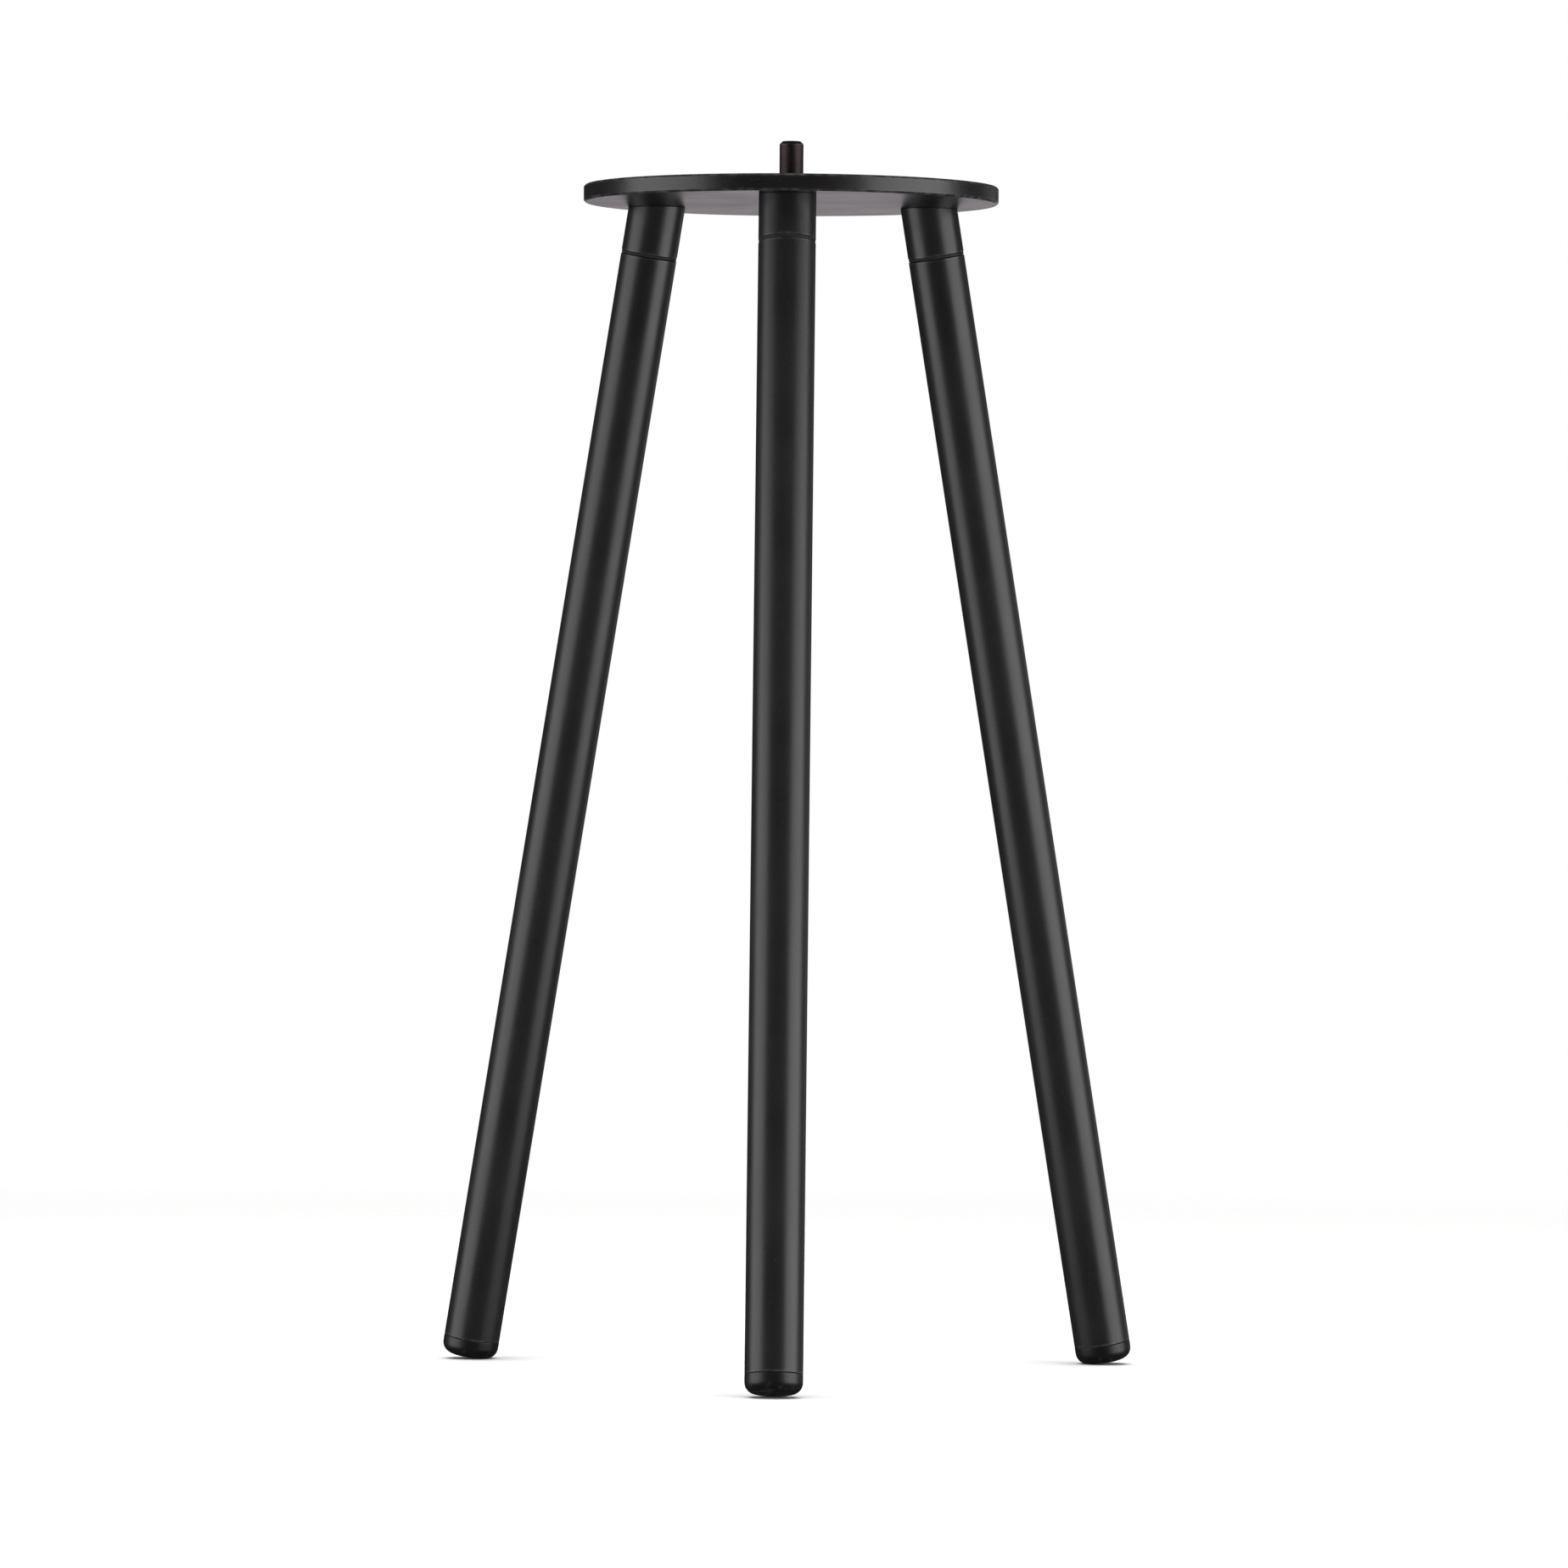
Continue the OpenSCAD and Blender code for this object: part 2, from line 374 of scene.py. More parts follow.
def finish_piece(piece, matrix, body, material, node):
    """Gives a piece its shading, own-frame attribute and material, and puts it on its CAD body."""
    mesh = piece.data
    mesh.name = piece.name
    mesh.shade_smooth()
    mesh.set_sharp_from_angle(angle=SMOOTH_UNDER)
    own = mesh.attributes.new("own_frame", "FLOAT_VECTOR", "POINT")
    own.data.foreach_set("vector", in_own_axes(mesh_points(mesh), matrix).astype(np.float32).ravel())
    shading = piece.modifiers.new("shading", "WEIGHTED_NORMAL")
    shading.keep_sharp = True
    mesh.materials.clear()
    mesh.materials.append(material)
    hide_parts(node)
    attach(piece, body)
    return piece


# ---------------------------------------------------------------- materials


def feed(node, inputs):
    """Sets or links a node's inputs, given by name or in order. A node given as a value stands for its
    first output in use, and a colour of three numbers gets an alpha of 1."""
    for name, value in inputs.items() if isinstance(inputs, dict) else enumerate(inputs):
        socket = node.inputs[name]
        if isinstance(value, bpy.types.Node):
            value = next(output for output in value.outputs if output.enabled)
        if isinstance(value, bpy.types.NodeSocket):
            node.id_data.links.new(value, socket)
        elif socket.type == "RGBA" and len(value) == 3:
            socket.default_value = (*value, 1.0)
        else:
            socket.default_value = value


def add(tree, kind, inputs=(), **settings):
    """Adds a node with its settings, and feeds its inputs."""
    node = tree.nodes.new("ShaderNode" + kind)
    for name, value in settings.items():
        setattr(node, name, value)
    feed(node, inputs)
    return node


def new_material(name):
    """A new material, its empty node tree, its principled shader, and the piece's own-frame places."""
    material = bpy.data.materials.get(name)
    if material:
        bpy.data.materials.remove(material)
    material = bpy.data.materials.new(name)
    material.use_nodes = True
    tree = material.node_tree
    tree.nodes.clear()
    shader = add(tree, "BsdfPrincipled")
    add(tree, "OutputMaterial", {"Surface": shader})
    own = add(tree, "Attribute", attribute_name="own_frame").outputs["Vector"]
    return material, tree, shader, own


def lumps(place, size, detail=2.0):
    """The inputs of a noise whose lumps are about that size in metres."""
    return {"Vector": place, "Scale": 1 / size, "Detail": detail}


def times(tint, factor):
    """A colour made darker or lighter, and held at white."""
    return tuple(min(1.0, part * factor) for part in tint)


def radius_and_height(tree, own):
    """A point's distance from the piece's own Z, and its place along it."""
    parts = add(tree, "SeparateXYZ", (own,)).outputs
    flat = add(tree, "CombineXYZ", (parts["X"], parts["Y"]))
    return add(tree, "VectorMath", (flat,), operation="LENGTH"), parts["Z"]


def worn_edges(tree, radius, height, edges, width):
    """1 on the round edges at these (radius, height) places, falling to 0 at that width from them."""
    worn = None
    for edge_r, edge_z in edges:
        across = add(tree, "Math", (radius, edge_r), operation="SUBTRACT")
        along = add(tree, "Math", (height, edge_z), operation="SUBTRACT")
        away = add(tree, "CombineXYZ", (across, along))
        distance = add(tree, "VectorMath", (away,), operation="LENGTH")
        near = add(tree, "MapRange", (distance, 0.0, width, 1.0, 0.0))
        worn = near if worn is None else add(tree, "Math", (worn, near), operation="MAXIMUM")
    return worn


def powder_coat(name, tint, worn, roughness, peel, edges):
    """Polyester powder coat, sprayed and baked: the melted powder leaves a soft orange peel about a
    millimetre across, which breaks a highlight's edge a little, a fine grit in it, and edges rubbed thin
    and shinier."""
    material, tree, shader, own = new_material(name)
    radius, height = radius_and_height(tree, own)
    cloud = add(tree, "TexNoise", lumps(own, 22 * MM, 3.0))
    orange_peel = add(tree, "TexNoise", lumps(own, peel, 1.5))
    # Real grit is about 0.05 mm; drawn at 0.3 mm, which is as fine as shows
    grit = add(tree, "TexNoise", lumps(own, 0.3 * MM))
    patches = add(tree, "TexNoise", lumps(own, 2.5 * MM, 3.0))
    patches = add(tree, "MapRange", (patches, 0.42, 0.62, 0.15, 0.8))
    wear = worn_edges(tree, radius, height, edges, 0.7 * MM)
    wear = add(tree, "Math", (wear, patches), operation="MULTIPLY")
    drift = add(tree, "MapRange", (cloud, 0.3, 0.7, 0.0, 1.0))
    shade = add(tree, "Mix", {0: drift, 6: times(tint, 0.85), 7: times(tint, 1.18)}, data_type="RGBA")
    specks = add(tree, "TexNoise", lumps(own, 0.45 * MM, 1.0))
    specks = add(tree, "MapRange", (specks, 0.68, 0.76, 0.0, 0.35))
    thin = add(tree, "Math", (wear, specks), operation="MAXIMUM")
    shade = add(tree, "Mix", {0: thin, 6: shade, 7: worn}, data_type="RGBA")
    gloss = add(tree, "MapRange", (cloud, 0.3, 0.7, roughness - 0.03, roughness + 0.04))
    gritty = add(tree, "MapRange", (grit, 0.3, 0.7, -0.03, 0.03))
    gloss = add(tree, "Math", (gloss, gritty), operation="ADD")
    shine = add(tree, "Math", (wear, 0.08), operation="MULTIPLY")
    gloss = add(tree, "Math", (gloss, shine), operation="SUBTRACT")
    normal = add(tree, "Bump", {"Height": orange_peel, "Distance": 9e-6})
    normal = add(tree, "Bump", {"Height": grit, "Distance": 1.5e-6, "Normal": normal})
    feed(shader, {"Base Color": shade, "Roughness": gloss, "Normal": normal, "IOR": 1.5})
    return material


def black_oxide_steel(name, tint, edges):
    """Turned steel blackened in a hot oxide bath and oiled: a thin dark skin on metal, mottled where the
    oil stays, with faint rings from the lathe and edges polished to bare grey-brown."""
    material, tree, shader, own = new_material(name)
    radius, height = radius_and_height(tree, own)
    mottle = add(tree, "TexNoise", lumps(own, 1.6 * MM, 3.0))
    mottle = add(tree, "MapRange", (mottle, 0.35, 0.65, 0.0, 1.0))
    shade = add(tree, "Mix", {0: mottle, 6: times(tint, 0.75), 7: times(tint, 1.3)}, data_type="RGBA")
    patches = add(tree, "TexNoise", lumps(own, 0.7 * MM))
    patches = add(tree, "MapRange", (patches, 0.4, 0.6, 0.25, 0.85))
    rubbed = worn_edges(tree, radius, height, edges, 0.35 * MM)
    rubbed = add(tree, "Math", (rubbed, patches), operation="MULTIPLY")
    shade = add(tree, "Mix", {0: rubbed, 6: shade, 7: linear("#8a7d78")}, data_type="RGBA")
    gloss = add(tree, "MapRange", (mottle, 0.0, 1.0, 0.48, 0.58))
    shine = add(tree, "Math", (rubbed, 0.08), operation="MULTIPLY")
    gloss = add(tree, "Math", (gloss, shine), operation="SUBTRACT")
    along = add(tree, "Mapping", {"Vector": own, "Scale": (0.1, 0.1, 1.0)})
    rings = add(tree, "TexNoise", lumps(along, 0.15 * MM))
    grain = add(tree, "TexNoise", lumps(own, 0.25 * MM))
    normal = add(tree, "Bump", {"Height": rings, "Distance": 1.2e-6})
    normal = add(tree, "Bump", {"Height": grain, "Distance": 2e-6, "Normal": normal})
    feed(shader, {"Base Color": shade, "Roughness": gloss, "Normal": normal, "Metallic": 1.0})
    return material


def zinc_plated_steel(name, tint):
    """Turned steel plated with zinc: a pale blue-grey metal with faint rings from the lathe and dull
    spots."""
    material, tree, shader, own = new_material(name)
    spots = add(tree, "TexNoise", lumps(own, 1.2 * MM, 3.0))
    spots = add(tree, "MapRange", (spots, 0.4, 0.65, 0.0, 1.0))
    shade = add(tree, "Mix", {0: spots, 6: tint, 7: times(tint, 0.72)}, data_type="RGBA")
    gloss = add(tree, "MapRange", (spots, 0.0, 1.0, 0.26, 0.42))
    along = add(tree, "Mapping", {"Vector": own, "Scale": (0.15, 0.15, 1.0)})
    rings = add(tree, "TexNoise", lumps(along, 0.12 * MM))
    normal = add(tree, "Bump", {"Height": rings, "Distance": 1.5e-6})
    feed(shader, {"Base Color": shade, "Roughness": gloss, "Normal": normal, "Metallic": 1.0})
    return material


def moulded_polyethylene(name, tint, sole):
    """Polyethylene moulded in a spark-eroded tool: a soft, even black with a fine dull grain, scuffed grey
    on the sole by the ground."""
    material, tree, shader, own = new_material(name)
    _, height = radius_and_height(tree, own)
    # Real spark grain is about 0.1 mm; drawn at 0.35 mm, which is as fine as shows
    spark = add(tree, "TexNoise", lumps(own, 0.35 * MM))
    low_down = add(tree, "MapRange", (height, sole - 2.6 * MM, sole - 0.2 * MM, 0.0, 1.0))
    scuffs = add(tree, "TexNoise", lumps(own, 1.4 * MM, 4.0))
    scuffs = add(tree, "MapRange", (scuffs, 0.48, 0.66, 0.0, 0.7))
    scuffs = add(tree, "Math", (low_down, scuffs), operation="MULTIPLY")
    shade = add(tree, "Mix", {0: scuffs, 6: tint, 7: linear("#45423e")}, data_type="RGBA")
    gloss = add(tree, "MapRange", (spark, 0.3, 0.7, 0.36, 0.46))
    dull = add(tree, "Math", (scuffs, 0.2), operation="MULTIPLY")
    gloss = add(tree, "Math", (gloss, dull), operation="ADD")
    normal = add(tree, "Bump", {"Height": spark, "Distance": 6e-6})
    feed(shader, {"Base Color": shade, "Roughness": gloss, "Normal": normal, "IOR": 1.52})
    return material


def nitrile_rubber(name, tint):
    """Nitrile rubber cut from sheet: a dull black with a slight bloom and a calendered grain."""
    material, tree, shader, own = new_material(name)
    bloom = add(tree, "TexNoise", lumps(own, 3 * MM, 3.0))
    bloom = add(tree, "MapRange", (bloom, 0.4, 0.7, 0.0, 0.5))
    shade = add(tree, "Mix", {0: bloom, 6: tint, 7: linear("#2c2c2c")}, data_type="RGBA")
    gloss = add(tree, "MapRange", (bloom, 0.0, 0.5, 0.6, 0.75))
    grain = add(tree, "TexNoise", lumps(own, 0.3 * MM))
    normal = add(tree, "Bump", {"Height": grain, "Distance": 8e-6})
    feed(shader, {"Base Color": shade, "Roughness": gloss, "Normal": normal, "IOR": 1.52})
    return material


def white_board(name, tint, clear_from, clear_to):
    """Matt white painted board: even and dull, fading out with distance so that its edge never shows."""
    material, tree, shader, _ = new_material(name)
    place = add(tree, "TexCoord").outputs["Object"]
    far = add(tree, "VectorMath", (place,), operation="LENGTH")
    fibres = add(tree, "TexNoise", lumps(place, 4 * MM))
    fibres = add(tree, "MapRange", (fibres, 0.3, 0.7, 0.97, 1.0))
    shade = add(tree, "Mix", {0: fibres, 6: times(tint, 0.94), 7: tint}, data_type="RGBA")
    fade = add(tree, "MapRange", (far, clear_from, clear_to, 1.0, 0.0))
    feed(shader, {"Base Color": shade, "Alpha": fade, "Roughness": 0.9, "Specular IOR Level": 0.0})
    return material


# ---------------------------------------------------------------- pieces

PAST = 1 * MM  # how far a cutter runs past the face that it opens


class STAND_OT_top_plate(bpy.types.Operator):
    """Builds the round plate, with its chamfered rim and its countersunk holes"""

    bl_idname = "stand.top_plate"
    bl_label = "Top plate"

    def execute(self, context):
        sizes, colours = context.scene.stand_sizes, context.scene.stand_colours
        bevel, soft = sizes.rim_chamfer, sizes.edge_round
        profile = rounded(
            [
                (0, PLATE_LOW),
                (PLATE_R / 2, PLATE_LOW),
                (PLATE_R - bevel, PLATE_LOW, soft),
                (PLATE_R, PLATE_LOW + bevel, soft),
                (PLATE_R, PLATE_TOP - bevel, soft),
                (PLATE_R - bevel, PLATE_TOP, soft),
                (PLATE_R / 2, PLATE_TOP),
                (0, PLATE_TOP),
            ]
        )
        plate = new_object("plate", mesh_from_rows("plate", turned(profile, 2 * sizes.columns), HEAD))
        stud_r, wide_r = sizes.stud_shank_r + sizes.press_play, STUD_HEAD_R + sizes.press_play
        centre = [
            (0, PLATE_LOW - PAST),
            (wide_r + soft, PLATE_LOW - PAST),
            (wide_r + soft, PLATE_LOW),
            (wide_r - soft, PLATE_LOW + 1.5 * soft),
            (stud_r, PLATE_LOW + wide_r - stud_r),
            (stud_r, PLATE_TOP + PAST),
            (0, PLATE_TOP + PAST),
        ]
        cutters = [cutter(turned(np.array(centre), sizes.columns), HEAD)]
        head_r, shank_r = sizes.screw_head_r + sizes.press_play, sizes.screw_r + sizes.thread_play
        hole = [
            (0, PLATE_LOW - PAST),
            (shank_r, PLATE_LOW - PAST),
            (shank_r, shank_r - head_r),
            (head_r - soft, -soft),
            (head_r + soft, soft / 2),
            (head_r + soft, PAST),
            (0, PAST),
        ]
        dowel_r = sizes.dowel_r + sizes.press_play
        pocket = [
            (0, PLATE_LOW - PAST),
            (dowel_r, PLATE_LOW - PAST),
            (dowel_r, DOWEL_TOP),
            (0, DOWEL_TOP),
        ]
        for leg in LEGS:
            cutters.append(cutter(turned(np.array(hole), sizes.columns), over_socket(leg)))
            there = beside_screw(leg, sizes.screw_r)
            cutters.append(cutter(turned(np.array(pocket), sizes.columns // 2), there))
        carve(plate, cutters)
        coat = powder_coat(
            "satin_black_powder_coat_head",
            colours.head_coat,
            colours.worn_coat,
            0.3,
            1.1 * MM,
            [(PLATE_R - bevel / 2, z) for z in (PLATE_TOP - bevel / 2, PLATE_LOW + bevel / 2)],
        )
        finish_piece(plate, HEAD, "stand_head", coat, "top_plate")
        return {"FINISHED"}


class STAND_OT_device_stud(bpy.types.Operator):
    """Builds the smooth stud that the device fits over, with its flat head in the plate's underside"""

    bl_idname = "stand.device_stud"
    bl_label = "Device stud"

    def execute(self, context):
        sizes, colours = context.scene.stand_sizes, context.scene.stand_colours
        soft, shank_r = sizes.edge_round, sizes.stud_shank_r
        shoulder_z = STUD_TOP - sizes.stud_tip
        profile = rounded(
            [
                (0, STUD_LOW),
                (STUD_HEAD_R, STUD_LOW, soft),
                (shank_r, STUD_LOW + STUD_HEAD_R - shank_r),
                (shank_r, PLATE_TOP, soft / 2),
                (STUD_R, PLATE_TOP),
                (STUD_R, shoulder_z, soft),
                (STUD_R - sizes.stud_tip, STUD_TOP, soft),
                (0, STUD_TOP),
            ]
        )
        rows = turned(profile, sizes.columns)
        stud = new_object("device_stud", mesh_from_rows("device_stud", rows, HEAD))
        edges = [(STUD_R, shoulder_z), (STUD_R - sizes.stud_tip, STUD_TOP)]
        steel = black_oxide_steel("black_oxide_steel_stud", colours.stud_oxide, edges)
        finish_piece(stud, HEAD, "stand_head", steel, "mount_stud")
        return {"FINISHED"}


class STAND_OT_sockets(bpy.types.Operator):
    """Builds the three slanted sockets, each with a flat top and a threaded hole for its leg"""

    bl_idname = "stand.sockets"
    bl_label = "Sockets"

    def execute(self, context):
        sizes, colours = context.scene.stand_sizes, context.scene.stand_colours
        soft, bevel = sizes.edge_round, sizes.seam_chamfer
        coat = powder_coat(
            "satin_black_powder_coat_sockets",
            colours.leg_coat,
            colours.worn_coat,
            0.34,
            0.9 * MM,
            [(LEG_R - bevel / 2, SOCKET_END - bevel / 2)],
        )
        # The plate's underside is slanted to the leg: the rows of top follow it, and those of side don't
        top = rounded([(0, 0), (LEG_R / 2, 0), (LEG_R, 0, soft), (LEG_R, 3 * MM)])
        side = rounded(
            [
                (LEG_R, 3.5 * MM),
                (LEG_R, SOCKET_END - bevel, soft / 3),
                (LEG_R - bevel, SOCKET_END, soft / 3),
                (LEG_R / 2, SOCKET_END),
                (0, SOCKET_END),
            ]
        )
        profile = np.concatenate((top[:-1], side))
        weights = np.where(np.arange(len(profile)) < len(top) - 1, 1.0, 0.0)

        hole_r, lead = LEG_STUD_R + sizes.thread_play, sizes.bore_lead
        hole_z, past_z = SOCKET_END - sizes.bore_depth, SOCKET_END + 1.3 * MM
        core_r = hole_r - THREAD_DEPTH * sizes.leg_pitch - 0.05 * MM

        def taper(height):
            """A radius just inside the thread's root, plus twice the distance to the nearer end, so that
            the cutter's ends are closed and don't fold over themselves."""
            return core_r + 2 * np.minimum(height - hole_z, past_z - height)

        bore = threaded(hole_z, past_z, hole_r, sizes.leg_pitch, taper, sizes.columns)
        # A 45 degree cone, which is lead wider than the hole where it leaves the socket
        mouth_z, mouth_past = SOCKET_END - lead - PAST, 1.6 * MM
        mouth = [
            (0, mouth_z),
            (hole_r - PAST, mouth_z),
            (hole_r + lead + mouth_past, SOCKET_END + mouth_past),
            (0, SOCKET_END + mouth_past),
        ]
        for leg in LEGS:
            matrix = LEG_AXES[leg]
            slope = (-matrix[2, 0] / matrix[2, 2], -matrix[2, 1] / matrix[2, 2])
            rows = turned(profile, sizes.columns, (weights, *slope))
            socket = new_object(f"leg_socket_{leg}", mesh_from_rows("socket", rows, matrix))
            cutters = [
                cutter(bore, matrix),
                cutter(turned(np.array(mouth), sizes.columns), matrix),
            ]
            for radius, low, there in (
                (sizes.screw_r + sizes.thread_play, SCREW_LOW, over_socket(leg)),
                (sizes.dowel_r + sizes.press_play, DOWEL_LOW, beside_screw(leg, sizes.screw_r)),
            ):
                hole = np.array([(0, low), (radius, low), (radius, 0), (0, 0)])
                cutters.append(cutter(turned(hole, sizes.columns // 2), there))
            carve(socket, cutters)
            finish_piece(socket, matrix, "stand_head", coat, f"socket_{leg}")
        return {"FINISHED"}


class STAND_OT_socket_fixings(bpy.types.Operator):
    """Builds the countersunk screw and the dowel that hold each socket to the plate"""

    bl_idname = "stand.socket_fixings"
    bl_label = "Socket screws and dowels"

    def execute(self, context):
        sizes, colours = context.scene.stand_sizes, context.scene.stand_colours
        rim = [(sizes.screw_head_r, 0.0)]
        steel = black_oxide_steel("black_oxide_steel_screws", colours.screw_oxide, rim)
        zinc = zinc_plated_steel("zinc_plated_steel_dowels", colours.zinc)
        profile = rounded(
            [
                (0, SCREW_LOW),
                (sizes.screw_r, SCREW_LOW, 0.3 * MM),
                (sizes.screw_r, sizes.screw_r - sizes.screw_head_r),
                (sizes.screw_head_r, 0, 0.12 * MM),
                (sizes.screw_key / 2 + 0.5 * MM, 0),
                (0, 0),
            ]
        )
        key_r = sizes.screw_key / 2 / math.cos(math.pi / 6)
        key_lead = 0.35 * MM
        lead_in = [
            (0, -key_lead),
            (key_r - 0.2 * MM, -key_lead),
            (key_r + 0.15 * MM, 0),
            (key_r + 0.15 * MM, PAST),
            (0, PAST),
        ]
        pin = rounded(
            [
                (0, DOWEL_LOW),
                (sizes.dowel_r, DOWEL_LOW, 0.25 * MM),
                (sizes.dowel_r, DOWEL_TOP, 0.25 * MM),
                (0, DOWEL_TOP),
            ]
        )
        for leg in LEGS:
            matrix = over_socket(leg)
            rows = turned(profile, sizes.columns)
            screw = new_object(f"socket_screw_{leg}", mesh_from_rows("screw", rows, matrix))
            cutters = [
                cutter(hexagon(sizes.screw_key, -sizes.screw_key_depth, PAST), matrix),
                cutter(turned(np.array(lead_in), sizes.columns // 2), matrix),
            ]
            carve(screw, cutters)
            finish_piece(screw, matrix, "stand_head", steel, "socket_screws")
            beside = beside_screw(leg, sizes.screw_r)
            rows = turned(pin, sizes.columns // 2)
            dowel = new_object(f"socket_dowel_{leg}", mesh_from_rows("dowel", rows, beside))
            finish_piece(dowel, beside, "stand_head", zinc, "socket_dowels")
        return {"FINISHED"}


class STAND_OT_seat_washers(bpy.types.Operator):
    """Builds the thin washer in each leg's seam"""

    bl_idname = "stand.seat_washers"
    bl_label = "Seat washers"

    def execute(self, context):
        sizes, colours = context.scene.stand_sizes, context.scene.stand_colours
        rubber = nitrile_rubber("nitrile_rubber_washer", colours.rubber)
        soft = 0.2 * MM
        inner_r = LEG_STUD_R + 2 * sizes.thread_play
        middle = (inner_r + WASHER_R) / 2
        ring = rounded(
            [
                (middle, SOCKET_END),
                (WASHER_R, SOCKET_END, soft),
                (WASHER_R, WASHER_END, soft),
                (inner_r, WASHER_END, soft / 2),
                (inner_r, SOCKET_END, soft / 2),
                (middle, SOCKET_END),
            ]
        )
        rows = turned(ring, sizes.columns)
        for leg in LEGS:
            matrix, body = LEG_AXES[leg], f"washer_{leg}"
            washer = new_object(f"washer_{leg}", mesh_from_rows("washer", rows, matrix))
            finish_piece(washer, matrix, body, rubber, f"seat_washer_{leg}")
        return {"FINISHED"}


class STAND_OT_leg_studs(bpy.types.Operator):
    """Builds each leg's threaded stud, and the plug in the tube that holds it"""

    bl_idname = "stand.leg_studs"
    bl_label = "Leg studs and plugs"

    def execute(self, context):
        sizes, colours = context.scene.stand_sizes, context.scene.stand_colours
        zinc = zinc_plated_steel("zinc_plated_steel_studs", colours.zinc)
        turned_steel = zinc_plated_steel("zinc_plated_steel_plugs", colours.zinc)
        tip_r = LEG_STUD_R - sizes.leg_stud_tip

        def taper(height):
            """The tip's radius, plus the distance to the nearer end: a 45 degree chamfer at both."""
            return tip_r + np.minimum(height - LEG_STUD_START, LEG_STUD_END - height)

        start, end = LEG_STUD_START, LEG_STUD_END
        stud_rows = threaded(start, end, LEG_STUD_R, sizes.leg_pitch, taper, sizes.columns)
        hole_r = LEG_STUD_R + sizes.thread_play
        rest = 2 * MM  # of the plug's hole, left free past the stud
        plug = rounded(
            [
                (0, LEG_STUD_END + rest),
                (hole_r, LEG_STUD_END + rest),
                (hole_r, TUBE_START + 0.4 * MM),
                (hole_r + 0.4 * MM, TUBE_START, 0.08 * MM),
                (PLUG_R, TUBE_START, 0.25 * MM),
                (PLUG_R, PLUG_END - sizes.plug_lead),
                (PLUG_R - sizes.plug_lead, PLUG_END),
                (0, PLUG_END),
            ]
        )
        plug_rows = turned(plug, sizes.columns)
        for leg in LEGS:
            matrix, body = LEG_AXES[leg], f"leg_{leg}"
            stud = new_object(f"screw_in_stud_{leg}", mesh_from_rows("stud", stud_rows, matrix))
            finish_piece(stud, matrix, body, zinc, f"leg_stud_{leg}")
            core = new_object(f"tube_plug_{leg}", mesh_from_rows("plug", plug_rows, matrix))
            finish_piece(core, matrix, body, turned_steel, f"leg_plug_{leg}")
        return {"FINISHED"}


class STAND_OT_leg_tubes(bpy.types.Operator):
    """Builds the three leg tubes, with a chamfer at the seam"""

    bl_idname = "stand.leg_tubes"
    bl_label = "Leg tubes"

    def execute(self, context):
        sizes, colours = context.scene.stand_sizes, context.scene.stand_colours
        soft, bevel = sizes.edge_round, sizes.seam_chamfer
        bore_r = LEG_R - sizes.tube_wall
        coat = powder_coat(
            "satin_black_powder_coat_legs",
            colours.leg_coat,
            colours.worn_coat,
            0.36,
            0.9 * MM,
            [(LEG_R - bevel / 2, TUBE_START + bevel / 2), (LEG_R, TUBE_END)],
        )
        # Each end has rows of its own up to here, and the wall between them is divided evenly
        first, last = TUBE_START + 5 * MM, TUBE_END - 5 * MM
        low_end = rounded(
            [
                (bore_r, first),
                (bore_r, TUBE_START, 0.1 * MM),
                (LEG_R - bevel, TUBE_START, soft / 3),
                (LEG_R, TUBE_START + bevel, soft / 3),
                (LEG_R, first),
            ]
        )
        high_end = rounded(
            [
                (LEG_R, last),
                (LEG_R, TUBE_END, 0.2 * MM),
                (bore_r, TUBE_END, 0.1 * MM),
                (bore_r, last),
            ]
        )
        heights = np.linspace(first, last, 24)[1:-1]
        outside = np.stack((np.full_like(heights, LEG_R), heights), -1)
        inside = np.stack((np.full_like(heights, bore_r), heights[::-1]), -1)
        profile = np.concatenate((low_end, outside, high_end, inside, low_end[:1]))
        rows = turned(profile, sizes.columns)
        for leg in LEGS:
            tube = new_object(f"tube_{leg}", mesh_from_rows("tube", rows, LEG_AXES[leg]))
            finish_piece(tube, LEG_AXES[leg], f"leg_{leg}", coat, f"leg_tube_{leg}")
        return {"FINISHED"}


